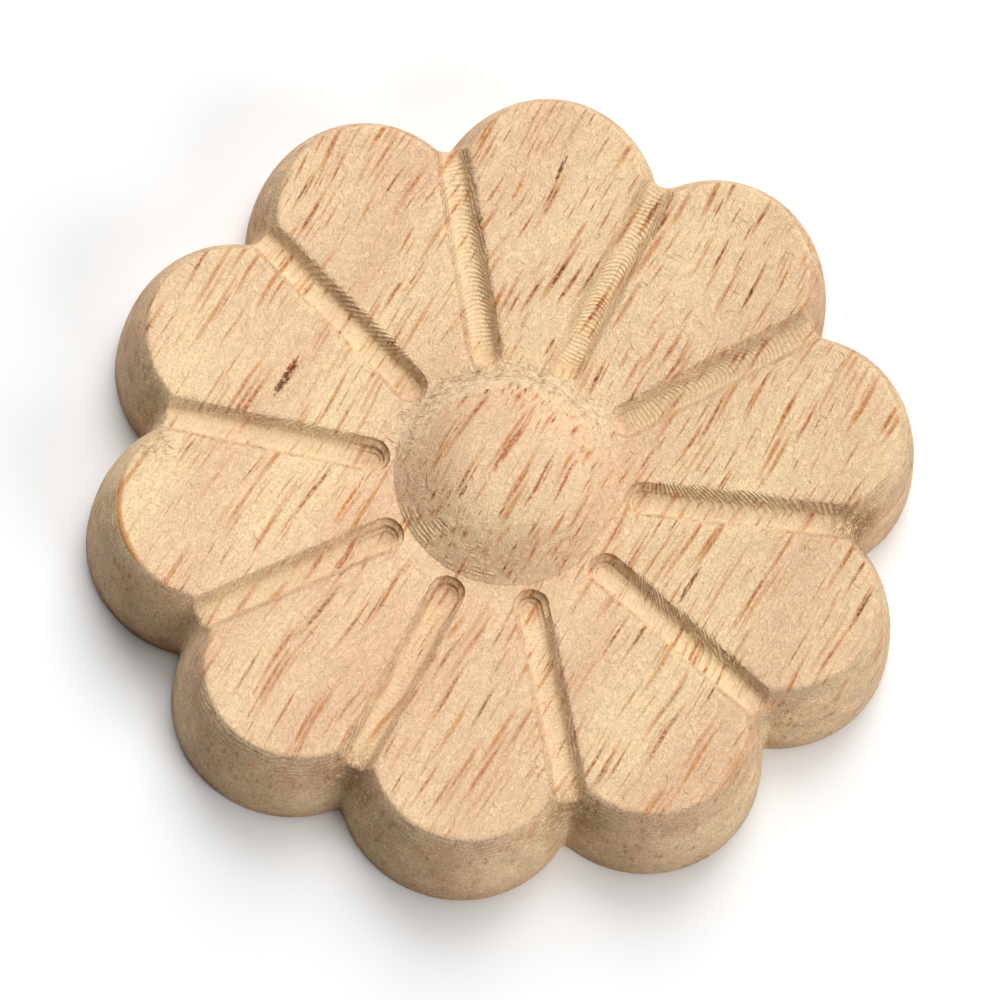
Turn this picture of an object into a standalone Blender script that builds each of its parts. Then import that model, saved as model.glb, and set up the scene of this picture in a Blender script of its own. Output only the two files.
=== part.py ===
"""Carved wooden rosette: a flat-backed disc cut into ten petals round a low dome.

The whole rosette is one solid piece of wood. Lengths are in metres and +Z points out of the carved
face. The origin is the middle of the flat back. A petal's tip points along +X, the next ones follow
every 36 degrees, and a groove lies halfway between each two petals.
"""
import math

import bmesh
import bpy

MM = 0.001

# Outline at the back: round petals, joined by small concave fillets in the notches
PETAL_COUNT = 10
TIP_RADIUS = 25.0 * MM
PETAL_CENTRE_RADIUS = 17.9 * MM
NOTCH_FILLET_RADIUS = 0.3 * MM

# Edge: it rises upright from the back and leans in more and more, up to a crisp rim
RIM_HEIGHT = 6.8 * MM
RIM_INSET = 1.65 * MM
EDGE_ARC = math.radians(66)

# Face: the petals fall in a straight slope towards the dome
CENTRE_HEIGHT = 3.65 * MM

# Dome: a nearly flat crown, a round shoulder and a straight flank
DOME_RADIUS = 6.75 * MM
SHOULDER_OUTER_RADIUS = 4.8 * MM
SHOULDER_INNER_RADIUS = 2.4 * MM
CROWN_EDGE_SLOPE = math.radians(8)
FLANK_SLOPE = math.radians(38)

# Grooves: cut by a tapered tool with a flat end, from the dome's foot out through the notch
GROOVE_DEPTH = 0.92 * MM
TOOL_END_RADIUS = 0.25 * MM
TOOL_CORNER_RADIUS = 0.45 * MM
TOOL_TAPER = math.radians(34)
GROOVE_INNER_RADIUS = 6.9 * MM
GROOVE_OUTER_RADIUS = 27.0 * MM
CUTTER_CLEARANCE = 0.6 * MM

# Facets
PETAL_ARC_STEPS = 14
FILLET_STEPS = 6
EDGE_STEPS = 6
CROWN_STEPS = 3
SHOULDER_STEPS = 4
CORNER_STEPS = 4
GROOVE_END_STEPS = 11
SMOOTH_ANGLE = math.radians(25)

PETAL_RADIUS = TIP_RADIUS - PETAL_CENTRE_RADIUS
HALF_PETAL_ANGLE = math.pi / PETAL_COUNT
TOP_TIP_RADIUS = TIP_RADIUS - RIM_INSET


def face_height(radius):
    """Height of the petals' sloping face at a distance from the middle."""
    return CENTRE_HEIGHT + (RIM_HEIGHT - CENTRE_HEIGHT) * radius / TOP_TIP_RADIUS


def outline(inset):
    """Points of the petal outline, moved in by inset, counter-clockwise from a notch."""
    petal_x = PETAL_CENTRE_RADIUS
    reach = PETAL_RADIUS + NOTCH_FILLET_RADIUS
    half_gap = petal_x * math.sin(HALF_PETAL_ANGLE)
    fillet_distance = petal_x * math.cos(HALF_PETAL_ANGLE) + math.sqrt(reach ** 2 - half_gap ** 2)
    fillet_x = fillet_distance * math.cos(HALF_PETAL_ANGLE)
    fillet_y = fillet_distance * math.sin(HALF_PETAL_ANGLE)
    tangent = math.atan2(fillet_y, fillet_x - petal_x)
    fillet_half_arc = tangent - HALF_PETAL_ANGLE

    one_petal = []
    for step in range(PETAL_ARC_STEPS + 1):
        angle = tangent * (2 * step / PETAL_ARC_STEPS - 1)
        radius = PETAL_RADIUS - inset
        one_petal.append((petal_x + radius * math.cos(angle), radius * math.sin(angle)))
    for step in range(1, FILLET_STEPS):
        turn = fillet_half_arc * (1 - 2 * step / FILLET_STEPS)
        angle = HALF_PETAL_ANGLE + math.pi + turn
        radius = NOTCH_FILLET_RADIUS + inset
        one_petal.append((fillet_x + radius * math.cos(angle), fillet_y + radius * math.sin(angle)))

    points = []
    for petal in range(PETAL_COUNT):
        cosine = math.cos(2 * HALF_PETAL_ANGLE * petal)
        sine = math.sin(2 * HALF_PETAL_ANGLE * petal)
        points += [(x * cosine - y * sine, x * sine + y * cosine) for x, y in one_petal]
    return points


def edge_rings():
    """Rings of the edge, from the back up to the rim, which follows the sloping face."""
    rings = []
    rim = outline(RIM_INSET)
    for step in range(EDGE_STEPS + 1):
        arc = EDGE_ARC * step / EDGE_STEPS
        inset = RIM_INSET * (1 - math.cos(arc)) / (1 - math.cos(EDGE_ARC))
        rise = math.sin(arc) / math.sin(EDGE_ARC)
        ring = []
        for (x, y), (rim_x, rim_y) in zip(outline(inset), rim):
            ring.append((x, y, rise * face_height(math.hypot(rim_x, rim_y))))
        rings.append(ring)
    return rings


def dome_profile():
    """Radius and height pairs of the dome, from its foot on the petals to just short of its top."""
    foot = face_height(DOME_RADIUS)
    flank_rise = (DOME_RADIUS - SHOULDER_OUTER_RADIUS) * math.tan(FLANK_SLOPE)
    shoulder_bend = (SHOULDER_OUTER_RADIUS - SHOULDER_INNER_RADIUS) / (
        math.sin(FLANK_SLOPE) - math.sin(CROWN_EDGE_SLOPE))
    crown_bend = SHOULDER_INNER_RADIUS / math.sin(CROWN_EDGE_SLOPE)

    profile = [(DOME_RADIUS, foot)]
    height = foot + flank_rise
    for step in range(SHOULDER_STEPS + 1):
        slope = FLANK_SLOPE + (CROWN_EDGE_SLOPE - FLANK_SLOPE) * step / SHOULDER_STEPS
        radius = SHOULDER_OUTER_RADIUS - shoulder_bend * (math.sin(FLANK_SLOPE) - math.sin(slope))
        rise = shoulder_bend * (math.cos(slope) - math.cos(FLANK_SLOPE))
        profile.append((radius, height + rise))
    height = profile[-1][1]
    for step in range(1, CROWN_STEPS + 1):
        slope = CROWN_EDGE_SLOPE * (1 - step / CROWN_STEPS)
        rise = crown_bend * (math.cos(slope) - math.cos(CROWN_EDGE_SLOPE))
        profile.append((crown_bend * math.sin(slope), height + rise))
    return profile


def close_with_fan(mesh, ring, tip, upwards):
    """Close a ring with triangles to one point."""
    tip_vertex = mesh.verts.new(tip)
    for index, vertex in enumerate(ring):
        following = ring[(index + 1) % len(ring)]
        corners = (vertex, following, tip_vertex) if upwards else (following, vertex, tip_vertex)
        mesh.faces.new(corners)


def bridge(mesh, lower, upper):
    """Join two rings of the same length with quads that face away from the middle."""
    for index in range(len(lower)):
        following = (index + 1) % len(lower)
        mesh.faces.new((lower[index], lower[following], upper[following], upper[index]))


def make_blank():
    """The rosette before its grooves: edge, sloping petals and dome in one skin."""
    positions = edge_rings()
    rim = positions[-1]
    profile = dome_profile()
    for radius, height in profile[:-1]:
        ring = []
        for x, y, _ in rim:
            reach = math.hypot(x, y)
            ring.append((x / reach * radius, y / reach * radius, height))
        positions.append(ring)

    mesh = bmesh.new()
    rings = [[mesh.verts.new(point) for point in ring] for ring in positions]
    for lower, upper in zip(rings, rings[1:]):
        bridge(mesh, lower, upper)
    close_with_fan(mesh, rings[0], (0.0, 0.0, 0.0), upwards=False)
    close_with_fan(mesh, rings[-1], (0.0, 0.0, profile[-1][1]), upwards=True)
    return mesh


def tool_profile():
    """Radius and height pairs of the cutting tool above its lowest point."""
    corner_arc = math.pi / 2 - TOOL_TAPER
    profile = []
    for step in range(CORNER_STEPS + 1):
        angle = corner_arc * step / CORNER_STEPS
        profile.append((TOOL_END_RADIUS + TOOL_CORNER_RADIUS * math.sin(angle),
                        TOOL_CORNER_RADIUS * (1 - math.cos(angle))))
    corner_radius, corner_height = profile[-1]
    top = GROOVE_DEPTH + CUTTER_CLEARANCE
    profile.append((corner_radius + (top - corner_height) * math.tan(TOOL_TAPER), top))
    return profile


def add_groove_cutter(mesh, direction):
    """One closed cutter: the tool swept outwards from the dome's foot, parallel to the face."""
    profile = tool_profile()
    corner_radius, corner_height = profile[-2]
    half_width = corner_radius + (GROOVE_DEPTH - corner_height) * math.tan(TOOL_TAPER)
    start = GROOVE_INNER_RADIUS + half_width
    start_floor = face_height(start) - GROOVE_DEPTH
    end_floor = face_height(GROOVE_OUTER_RADIUS) - GROOVE_DEPTH
    cosine, sine = math.cos(direction), math.sin(direction)

    def vertex(along, across, height):
        return mesh.verts.new((along * cosine - across * sine, along * sine + across * cosine, height))

    floor_end = vertex(GROOVE_OUTER_RADIUS, 0.0, end_floor)
    floor_start = vertex(start, 0.0, start_floor)
    rows = []
    for radius, height in profile:
        row = [vertex(GROOVE_OUTER_RADIUS, -radius, end_floor + height)]
        for step in range(GROOVE_END_STEPS + 1):
            angle = -math.pi / 2 - math.pi * step / GROOVE_END_STEPS
            row.append(vertex(start + radius * math.cos(angle), radius * math.sin(angle),
                              start_floor + height))
        row.append(vertex(GROOVE_OUTER_RADIUS, radius, end_floor + height))
        rows.append(row)

    lowest = rows[0]
    last = len(lowest) - 1
    mesh.faces.new((floor_end, floor_start, lowest[1], lowest[0]))
    for index in range(1, last - 1):
        mesh.faces.new((floor_start, lowest[index + 1], lowest[index]))
    mesh.faces.new((floor_start, floor_end, lowest[last], lowest[last - 1]))
    for lower, upper in zip(rows, rows[1:]):
        for index in range(last):
            mesh.faces.new((lower[index], lower[index + 1], upper[index + 1], upper[index]))
    mesh.faces.new(rows[-1])
    mesh.faces.new([floor_end] + [row[0] for row in rows] + [row[-1] for row in reversed(rows)])


def make_object(name, mesh):
    """Turn a bmesh into a scene object."""
    bmesh.ops.recalc_face_normals(mesh, faces=mesh.faces)
    data = bpy.data.meshes.new(name)
    mesh.to_mesh(data)
    mesh.free()
    made = bpy.data.objects.new(name, data)
    bpy.context.scene.collection.objects.link(made)
    return made


def make_wood():
    """Pale, unfinished wood."""
    wood = bpy.data.materials.new("pale_wood")
    wood.use_nodes = True
    shader = wood.node_tree.nodes["Principled BSDF"]
    shader.inputs["Base Color"].default_value = (0.80, 0.58, 0.37, 1.0)
    shader.inputs["Roughness"].default_value = 0.75
    shader.inputs["Metallic"].default_value = 0.0
    return wood


for leftover in list(bpy.data.objects):
    bpy.data.objects.remove(leftover)

rosette = make_object("rosette", make_blank())
rosette.data.materials.append(make_wood())

cutter_mesh = bmesh.new()
for groove in range(PETAL_COUNT):
    add_groove_cutter(cutter_mesh, (2 * groove + 1) * HALF_PETAL_ANGLE)
cutters = make_object("groove_cutters", cutter_mesh)
cutters.hide_render = True
cutters.display_type = "WIRE"

cut = rosette.modifiers.new("grooves", "BOOLEAN")
cut.operation = "DIFFERENCE"
cut.solver = "EXACT"
cut.object = cutters

rosette.data.shade_smooth()
rosette.data.set_sharp_from_angle(angle=SMOOTH_ANGLE)
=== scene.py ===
import math

import bpy
from mathutils import Matrix, Vector


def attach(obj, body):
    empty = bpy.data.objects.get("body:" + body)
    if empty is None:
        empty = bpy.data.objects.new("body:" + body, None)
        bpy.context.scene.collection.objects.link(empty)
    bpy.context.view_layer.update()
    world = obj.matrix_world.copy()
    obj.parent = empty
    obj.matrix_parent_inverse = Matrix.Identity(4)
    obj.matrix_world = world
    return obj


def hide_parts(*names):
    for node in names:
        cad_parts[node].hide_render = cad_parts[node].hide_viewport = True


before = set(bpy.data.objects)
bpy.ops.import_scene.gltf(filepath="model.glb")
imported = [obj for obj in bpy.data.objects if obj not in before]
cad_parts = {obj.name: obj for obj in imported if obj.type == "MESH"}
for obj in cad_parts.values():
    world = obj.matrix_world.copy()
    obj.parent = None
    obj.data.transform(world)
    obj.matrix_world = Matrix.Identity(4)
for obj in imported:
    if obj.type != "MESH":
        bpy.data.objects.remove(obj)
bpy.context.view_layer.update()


# Rosette
# Ten petals round a low dome, with a groove between each two. It is one block of rubberwood, machined
# with a tapered, flat-ended cutter, left raw, and glued to furniture by its flat back.

MM = 0.001
GRAIN_BEARING = math.radians(50)
GRAIN_DIP = math.radians(2)
grain = Vector((math.cos(GRAIN_DIP) * math.cos(GRAIN_BEARING),
                math.cos(GRAIN_DIP) * math.sin(GRAIN_BEARING),
                -math.sin(GRAIN_DIP)))
across_grain = Vector((-math.sin(GRAIN_BEARING), math.cos(GRAIN_BEARING), 0.0))
through_grain = grain.cross(across_grain)
to_grain = Matrix((across_grain, through_grain, grain)).to_euler()


def linear(hex_colour):
    """Turn an sRGB hex colour into linear RGBA."""
    channels = [int(hex_colour[start:start + 2], 16) / 255 for start in (1, 3, 5)]
    curved = [c / 12.92 if c <= 0.04045 else ((c + 0.055) / 1.055) ** 2.4 for c in channels]
    return (*curved, 1.0)


def add(tree, kind, *values, **settings):
    """Add a node with its settings, and set or link its inputs: the first ones in their order, and others
    in a dictionary by name or number. A kind without its family is a shader node, and a node that is
    given as a value stands for its first output in use."""
    node = tree.nodes.new(kind if "Node" in kind else "ShaderNode" + kind)
    for name, value in settings.items():
        setattr(node, name, value)
    sockets = {}
    for number, value in enumerate(values):
        sockets.update(value if isinstance(value, dict) else {number: value})
    for socket, value in sockets.items():
        if isinstance(value, bpy.types.Node):
            value = next(output for output in value.outputs if output.enabled)
        if isinstance(value, bpy.types.NodeSocket):
            tree.links.new(value, node.inputs[socket])
        else:
            node.inputs[socket].default_value = value
    return node


def nearness(tree, value, target, far, near, **settings):
    """How near a value is to its target: nothing from far off, and the whole from near."""
    off = add(tree, "Math", value, target, operation="SUBTRACT")
    distance = add(tree, "Math", off, operation="ABSOLUTE")
    return add(tree, "MapRange", distance, far, near, **settings)


def set_stops(ramp_node, *stops):
    """Give a colour ramp its stops, each a position and an sRGB hex colour."""
    elements = ramp_node.color_ramp.elements
    while len(elements) < len(stops):
        elements.new(0.5)
    for element, (position, hex_colour) in zip(elements, stops):
        element.position = position
        element.color = linear(hex_colour)


# Raw rubberwood, machined and unvarnished: a matt cream ground with short brown vessels. The grain runs
# across the petals and dips a little, so the vessels are streaks on the face and dots on the steep parts.
rubberwood = bpy.data.materials.new("raw_machined_rubberwood")
rubberwood.use_nodes = True
wood = rubberwood.node_tree
wood.nodes.clear()

# Places in millimetres, with the grain along Z, bent a little as wood fibres are
place = add(wood, "TexCoord").outputs["Object"]
place_mm = add(wood, "VectorMath", place, {"Scale": 1 / MM}, operation="SCALE")
bend = add(wood, "TexNoise", {"Vector": place_mm, "Scale": 0.11, "Detail": 1.0}).outputs["Color"]
bend_centred = add(wood, "VectorMath", bend, (0.5, 0.5, 0.5), operation="SUBTRACT")
bent_mm = add(wood, "VectorMath", bend_centred, (1.5, 1.5, 0.5), place_mm, operation="MULTIPLY_ADD")
in_grain = add(wood, "Mapping", {"Vector": bent_mm, "Rotation": to_grain}, vector_type="POINT")

# Patterns in the wood, with their cells per mm across, through and along the grain, then detail,
# roughness and twist: ragged pore edges, darker beads of torn wood in the pores, stretches with and
# without pores, bands some millimetres wide, fibres 0.1 mm wide, curls of torn fibre, cut fibre ends
patterns = []
for cells_per_mm, detail, roughness, twist in (
        ((8.0, 8.0, 4.6), 2.0, 0.6, 0.0), ((6.0, 6.0, 3.6), 1.0, 0.5, 0.0),
        ((0.9, 0.9, 0.35), 1.0, 0.5, 0.0), ((0.20, 0.28, 0.035), 3.0, 0.5, 0.0),
        ((8.0, 8.0, 0.7), 2.0, 0.6, 0.0), ((4.4, 4.4, 2.8), 3.0, 0.7, 1.4),
        ((9.0, 9.0, 9.0), 1.0, 0.5, 0.0)):
    in_cells = add(wood, "Mapping", {"Vector": in_grain, "Scale": cells_per_mm})
    patterns.append(add(wood, "TexNoise", {
        "Vector": in_cells, "Scale": 1.0, "Detail": detail, "Roughness": roughness, "Distortion": twist}))
fray, bead, gap, band, fibre, curl, speckle = patterns

# How far a place belongs to the steep outer edge, and its height above the back. A MapRange is given a
# value, its start and end, and what it turns them into, which is 0 and 1 if nothing is said.
normal = add(wood, "NewGeometry").outputs["Normal"]
upward = add(wood, "SeparateXYZ", normal).outputs[2]
steep = add(wood, "MapRange", upward, 0.80, 0.66)
height_mm = add(wood, "SeparateXYZ", place_mm).outputs[2]

# Fine level lines that the cutter left on the outer edge, in patches
LINE_SPACING_MM = 0.27
line_waver = add(wood, "TexNoise", {"Vector": place_mm, "Scale": 0.7, "Detail": 3.0})
line_height = add(wood, "Math", line_waver, 0.7, height_mm, operation="MULTIPLY_ADD")
line_phase = add(wood, "Math", line_height, 2 * math.pi / LINE_SPACING_MM, operation="MULTIPLY")
line_wave = add(wood, "Math", line_phase, operation="SINE")
line_noise = add(wood, "TexNoise", {"Vector": place_mm, "Scale": 0.22, "Detail": 1.0})
line_patch = add(wood, "MapRange", line_noise, 0.48, 0.60)
under_rim = add(wood, "MapRange", height_mm, 4.4, 5.4)
line_place = add(wood, "Math", line_patch, under_rim, operation="MULTIPLY")
line_share = add(wood, "Math", steep, line_place, operation="MULTIPLY")
level_lines = add(wood, "Math", line_wave, line_share, operation="MULTIPLY")

# Ground colour: cream and pinkish bands, paler towards the board's outer side
ground = add(wood, "ValToRGB", band)
set_stops(ground, (0.34, "#E7C09B"), (0.48, "#EECBA3"), (0.64, "#F3D4A8"))
across_mm = add(wood, "SeparateXYZ", in_grain)
paler = add(wood, "MapRange", across_mm, -22.0, 22.0, 1.02, 1.07)

# Light and dark of the patterns, stronger in the fibre ends of the steep outer edge
fibre_tone, curl_tone, face_speckle, edge_speckle = (
    add(wood, "MapRange", pattern, low, high, dark, light)
    for pattern, low, high, dark, light in (
        (fibre, 0.28, 0.72, 0.93, 1.06), (curl, 0.30, 0.70, 0.78, 1.14),
        (speckle, 0.28, 0.72, 0.90, 1.08), (speckle, 0.28, 0.72, 0.74, 1.17)))
speckle_tone = add(wood, "Mix", {"Factor": steep, 2: face_speckle, 3: edge_speckle})

# The outer edge is blotchier, and painted shade darkens it, most of all towards the back
blotch = add(wood, "TexNoise", {"Vector": place_mm, "Scale": 0.8, "Detail": 3.0, "Roughness": 0.6})
blotch_tone = add(wood, "MapRange", blotch, 0.3, 0.7, 0.86, 1.12)
lined_tone = add(wood, "Math", level_lines, 0.10, blotch_tone, operation="MULTIPLY_ADD")
# Painted shade: the whole steep edge is darkened, by 0.80 at the back and by 0.92 from 3.5 mm up
painted_shade_towards_back = add(wood, "MapRange", height_mm, 0.0, 3.5, 0.80, 0.92)
edge_blotch_and_painted_shade = add(wood, "Math", painted_shade_towards_back, lined_tone, operation="MULTIPLY")
steep_blotch_and_painted_shade = add(wood, "Mix", {"Factor": steep, 2: 1.0, 3: edge_blotch_and_painted_shade})
tone = paler
for part in (fibre_tone, curl_tone, speckle_tone, steep_blotch_and_painted_shade):
    tone = add(wood, "Math", tone, part, operation="MULTIPLY")
colour = add(wood, "VectorMath", ground, {"Scale": tone}, operation="SCALE")

# Stains are laid over the ground one after the other, each with its weight and colour. The first is the
# freshly cut and paler wood of the grooves' floors.
groove_floor = add(wood, "Attribute", attribute_name="floor_mark").outputs["Fac"]
floor_weight = add(wood, "Math", groove_floor, 0.35, operation="MULTIPLY")
stains = [(floor_weight, linear("#F8E0B2"))]

# Pores, the wood's vessels, up to 0.25 mm wide: more open towards one side of the board, and less on the
# outer edge. Each has a heart from orange-brown to dark brown with darker beads, and an orange halo.
HALO_STRENGTH = 0.62
HEART_FULL_SHARE = 0.5
HALO_REACH_SHARE = 1.8

# The wide pores, then the thin ones between them: cell across, through and along the grain in mm, smallest
# and largest reach in cells, raggedness, clear wood and full strength on the gap pattern, weight
PORE_SIZES = (((0.40, 0.86, 7.5), 0.08, 0.35, 0.36, 0.26, 0.38, 0.95),
              ((0.25, 0.58, 5.0), 0.08, 0.27, 0.32, 0.32, 0.46, 0.65))
along_board = add(wood, "VectorMath", place_mm, (0.7, 0.7, 0.0), operation="DOT_PRODUCT")
board_share = add(wood, "MapRange", along_board, -20.0, 8.0, 0.70, 1.08)
edge_share = add(wood, "MapRange", steep, {3: 1.0, 4: 0.55})
open_share = add(wood, "Math", board_share, edge_share, operation="MULTIPLY")
bead_strength = add(wood, "MapRange", bead, 0.40, 0.58, 0.22, 1.0)
pore_hearts = []
for cell, smallest, largest, raggedness, clear, full, weight in PORE_SIZES:
    in_cells = add(wood, "Mapping", {"Vector": in_grain, "Scale": (1 / cell[0], 1 / cell[1], 1 / cell[2])})
    pores = add(wood, "TexVoronoi", {"Vector": in_cells, "Scale": 1.0})
    kind = add(wood, "SeparateColor", pores.outputs["Color"])
    spare = add(wood, "Math", pores.outputs["Distance"], raggedness / 2, operation="SUBTRACT")
    frayed = add(wood, "Math", fray, raggedness, spare, operation="MULTIPLY_ADD")
    reach = add(wood, "MapRange", kind, {3: smallest, 4: largest})
    present = add(wood, "MapRange", gap, clear, full)
    core, wide = (add(wood, "Math", reach, share, operation="MULTIPLY")
                  for share in (HEART_FULL_SHARE, HALO_REACH_SHARE))
    shares = []
    for rim, inside in ((reach, core), (wide, reach)):
        filled = add(wood, "MapRange", frayed, rim, inside, interpolation_type="SMOOTHSTEP")
        shares.append(add(wood, "Math", filled, present, operation="MULTIPLY"))
    pore_hearts.append(shares[0])
    heart, halo = (add(wood, "Math", share, open_share, operation="MULTIPLY") for share in shares)
    halo_weight = add(wood, "Math", halo, HALO_STRENGTH * weight, operation="MULTIPLY")
    beaded = add(wood, "Math", heart, bead_strength, operation="MULTIPLY")
    heart_weight = add(wood, "Math", beaded, weight, operation="MULTIPLY")
    browns = add(wood, "ValToRGB", kind.outputs[1])
    set_stops(browns, (0.1, "#DA8C4A"), (0.5, "#BA633A"), (0.95, "#6E3A24"))
    stains += [(halo_weight, linear("#D2935F")), (heart_weight, browns)]

# Broad vessels, some filled with dark or orange gum: place, half width and half length in mm, colour
GUM_HALF_DEPTH_MM = 0.5
for gum_place, half_width, half_length, gum_colour in (
        ((-11.65, 8.5, 5.6), 0.20, 0.6, "#CC6A40"), ((-12.0, 7.9, 5.6), 0.30, 1.5, "#6E3818"),
        ((9.6, -8.4, 5.4), 0.17, 1.6, "#8A3F26"), ((6.5, 18.2, 6.3), 0.15, 0.9, "#7A4022"),
        ((-9.9, -0.2, 5.0), 0.15, 2.2, "#DB7A2C"), ((3.4, 17.4, 6.2), 0.15, 1.2, "#D0803C"),
        ((0.0, 1.2, 7.2), 0.19, 2.6, "#B87247"), ((-2.7, 2.9, 6.9), 0.17, 1.7, "#B5774C"),
        ((3.1, -1.4, 6.9), 0.15, 1.9, "#B8664A"), ((1.5, -1.1, 7.1), 0.15, 2.7, "#B0683F"),
        ((-3.1, -1.2, 6.9), 0.14, 0.6, "#8A5836")):
    gum_middle = to_grain.to_matrix() @ Vector(gum_place)
    away = add(wood, "VectorMath", in_grain, gum_middle, operation="SUBTRACT")
    in_reach = add(wood, "VectorMath", away, (1 / half_width, 1 / GUM_HALF_DEPTH_MM, 1 / half_length),
                   operation="MULTIPLY")
    reach_share = add(wood, "VectorMath", in_reach, operation="LENGTH")
    ragged = add(wood, "Math", fray, 1.5, reach_share, operation="MULTIPLY_ADD")
    gum = add(wood, "MapRange", ragged, 1.75, 1.25, interpolation_type="SMOOTHSTEP")
    beaded_gum = add(wood, "MapRange", bead, 0.36, 0.52, 0.45, 0.95)
    gum_weight = add(wood, "Math", gum, beaded_gum, operation="MULTIPLY")
    stains.append((gum_weight, linear(gum_colour)))

# The cutter rubbed the rim of the petal that points along -X and turned it orange
SCORCHED_PETAL_MM = (-17.9, 0.0, 0.0)
SCORCHED_RADIUS_MM = 5.40
in_plan = add(wood, "VectorMath", place_mm, (1.0, 1.0, 0.0), operation="MULTIPLY")
from_petal = add(wood, "VectorMath", in_plan, SCORCHED_PETAL_MM, operation="SUBTRACT")
petal_reach = add(wood, "VectorMath", from_petal, operation="LENGTH")
on_rim = nearness(wood, petal_reach, SCORCHED_RADIUS_MM, 0.26, 0.08, interpolation_type="SMOOTHSTEP")
petal_side = add(wood, "SeparateXYZ", from_petal)
far_side = add(wood, "MapRange", petal_side, -4.4, -5.0, 0.0, 0.75)
scorch = add(wood, "Math", on_rim, far_side, operation="MULTIPLY")
stains.append((scorch, linear("#DB8E48")))

# Torn fibre makes the wood paler round the upper side of the dome's foot
TORN_RADIUS_MM = 6.3
plan_radius = add(wood, "VectorMath", in_plan, operation="LENGTH")
at_foot = nearness(wood, plan_radius, TORN_RADIUS_MM, 1.3, 0.4, interpolation_type="SMOOTHSTEP")
plan_y = add(wood, "SeparateXYZ", in_plan).outputs[1]
upper_side = add(wood, "MapRange", plan_y, 0.5, 3.5, 0.0, 0.7)
fuzz_noise = add(wood, "MapRange", curl, 0.42, 0.58)
fuzz_place = add(wood, "Math", at_foot, upper_side, operation="MULTIPLY")
fuzz = add(wood, "Math", fuzz_place, fuzz_noise, operation="MULTIPLY")
stains.append((fuzz, linear("#F2DFBE")))

# Three notches are torn and browned: bearing in degrees, and how much
NOTCH_RADIUS_MM = 21.4
NOTCH_HEIGHT_MM = 4.8
for notch_bearing, browned in ((342, 0.95), (270, 0.6), (234, 0.6)):
    notch_place = (NOTCH_RADIUS_MM * math.cos(math.radians(notch_bearing)),
                   NOTCH_RADIUS_MM * math.sin(math.radians(notch_bearing)), NOTCH_HEIGHT_MM)
    notch_reach = add(wood, "VectorMath", place_mm, notch_place, operation="DISTANCE")
    at_notch = add(wood, "MapRange", notch_reach, 2.6, 0.9, 0.0, browned)
    torn_noise = add(wood, "MapRange", curl, 0.60, 0.48)
    brown_weight = add(wood, "Math", at_notch, torn_noise, operation="MULTIPLY")
    stains.append((brown_weight, linear("#94683C")))

for weight, stain in stains:
    colour = add(wood, "Mix", {"Factor": weight, 6: colour, 7: stain}, data_type="RGBA")

# End grain on the steep outer edge drinks the light
facing = add(wood, "VectorMath", normal, grain, operation="DOT_PRODUCT")
facing_size = add(wood, "Math", facing, operation="ABSOLUTE")
end_grain = add(wood, "MapRange", facing_size, 0.76, 0.96, interpolation_type="SMOOTHSTEP")
end_tone = add(wood, "Mix", {"Factor": end_grain, 6: (1.0, 1.0, 1.0, 1.0), 7: linear("#ECE8E2")},
               data_type="RGBA")
colour = add(wood, "VectorMath", colour, end_tone, operation="MULTIPLY")

# Relief in millimetres: raised fibres and sunk pores
relief = 0.0
for pattern, rise_mm in ((speckle, 0.034), (fibre, 0.020), (curl, 0.110), (level_lines, 0.032),
                         (pore_hearts[0], -0.045), (pore_hearts[1], -0.020)):
    relief = add(wood, "Math", pattern, rise_mm, relief, operation="MULTIPLY_ADD")
relief_normal = add(wood, "Bump", {"Height": relief, "Distance": MM, "Strength": 1.0})

surface = add(wood, "BsdfPrincipled", {
    "Base Color": colour, "Roughness": 0.8, "IOR": 1.5, "Specular IOR Level": 0.2, "Normal": relief_normal})
add(wood, "OutputMaterial", {"Surface": surface})

# Sizes of the solid: petals, edge, sloping face, dome and grooves
PETAL_COUNT = 10
HALF_PETAL_ANGLE = math.pi / PETAL_COUNT
PETAL_CENTRE_RADIUS = 17.9 * MM
PETAL_RADIUS = 7.1 * MM
NOTCH_FILLET_RADIUS = 0.3 * MM
RIM_HEIGHT = 6.8 * MM
RIM_INSET = 1.65 * MM
EDGE_ARC = math.radians(66)
CENTRE_HEIGHT = 3.65 * MM
DOME_RADIUS = 6.75 * MM
SHOULDER_OUTER_RADIUS = 4.8 * MM
SHOULDER_INNER_RADIUS = 2.4 * MM
CROWN_EDGE_SLOPE = math.radians(8)
FLANK_SLOPE = math.radians(38)
GROOVE_DEPTH = 0.92 * MM
TOOL_END_RADIUS = 0.25 * MM
TOOL_CORNER_RADIUS = 0.45 * MM
TOOL_TAPER = math.radians(34)
GROOVE_INNER_RADIUS = 6.9 * MM

# How far the dressed rosette stays inside the solid's outline, and the wear of its edges
SKIN = 0.02 * MM
EDGE_WEAR = 0.045 * MM
RIM_WEAR = 0.17 * MM

# Tool marks lag behind the cutter's foremost point in an arc on the floor and slant on the walls. They
# start and end inside the groove, and the steps at its inner end fade out along it.
MARK_ARC_RADIUS = 0.70 * MM
MARK_WALL_SLANT = 1.9
MARK_LEAN_SHARE = 0.38
MARKS_BEGIN = 0.7 * MM
MARKS_END = 0.9 * MM
STEPS_REACH = 2.5 * MM
LEAST_STEP_SHARE = 0.15

# Rings on the dome fade out towards its crown
RINGS_END_MM = 3.6
RINGS_FADE_MM = 1.2

# Lines of the groove as shares of its half width: floor, corner, wall, worn edge, and one on the face
GROOVE_LINES = (0.0, 0.13, 0.25, 0.36, 0.46, 0.561, 0.70, 0.85, 0.99, 1.13)
CORNER_LINE = 5
EDGE_LINE = 8

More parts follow.
